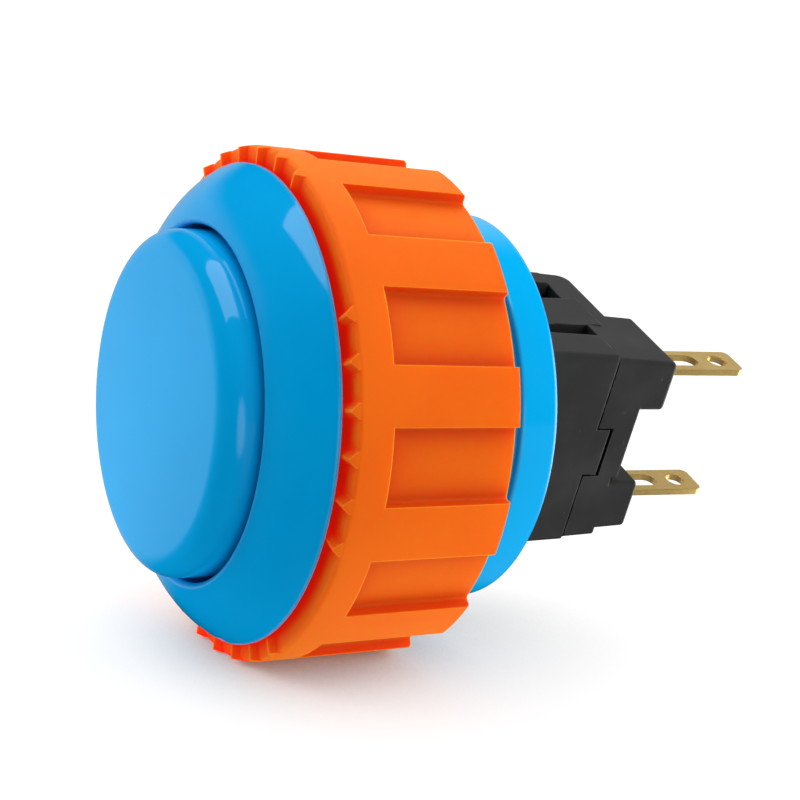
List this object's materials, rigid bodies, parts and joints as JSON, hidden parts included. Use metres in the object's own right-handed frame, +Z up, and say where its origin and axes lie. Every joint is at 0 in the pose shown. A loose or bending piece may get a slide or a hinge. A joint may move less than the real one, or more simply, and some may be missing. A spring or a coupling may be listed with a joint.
{
  "type": "arcade push button",
  "caption": "Round screw-in arcade push button with a domed cap, bevelled bezel, threaded barrel, ribbed ring nut and a snap-in switch with solder terminals.",
  "frame": {"origin": "on the button's axis, in the plane of the bezel's underside that seats on the panel", "axes": "+Y along the button's axis from the cap to the terminals, +Z up with the button lying on its side, +X to the right seen from the cap"},
  "size_m": [0.0358, 0.0453, 0.0358],
  "materials": {
    "blue_plastic": "glossy",
    "orange_plastic": "satin",
    "black_plastic": "satin",
    "stem_plastic": "matte",
    "spring_steel": "bright",
    "strip_brass": "satin",
    "terminal_gold": "plated",
    "contact_metal": "bright"
  },
  "bodies": {
    "barrel": {"barrel_bezel": "blue_plastic", "switch_cover": "black_plastic", "switch_base": "black_plastic", "terminal_upper": "terminal_gold", "terminal_lower": "terminal_gold", "fixed_contact_upper": "contact_metal", "fixed_contact_lower": "contact_metal", "return_spring": "spring_steel"},
    "plunger": {"plunger": "blue_plastic"},
    "stem": {"switch_stem": "stem_plastic", "contact_spring": "spring_steel"},
    "bridge": {"contact_bridge": "strip_brass", "moving_contact_upper": "contact_metal", "moving_contact_lower": "contact_metal"},
    "nut": {"ring_nut": "orange_plastic"}
  },
  "joints": [
    {"name": "plunger_press", "type": "slide", "parent": "barrel", "child": "plunger", "axis": [0, 1, 0], "range_m": [0, 0.0028], "stiffness_N_per_m": 150, "springref_m": -0.004},
    {"name": "stem_press", "type": "slide", "parent": "barrel", "child": "stem", "axis": [0, 1, 0], "range_m": [0, 0.0028], "deforming": ["return_spring"]},
    {"name": "bridge_close", "type": "slide", "parent": "barrel", "child": "bridge", "axis": [0, 1, 0], "range_m": [0, 0.0014], "deforming": ["contact_spring"]},
    {"name": "nut_slide", "type": "slide", "parent": "barrel", "child": "nut", "axis": [0, 1, 0], "range_m": [0, 0.0125]}
  ],
  "couplings": [
    {"joint": "stem_press", "follows": "plunger_press", "ratio": 1},
    {"joint": "bridge_close", "follows": "plunger_press", "ratio": 0.5}
  ]
}
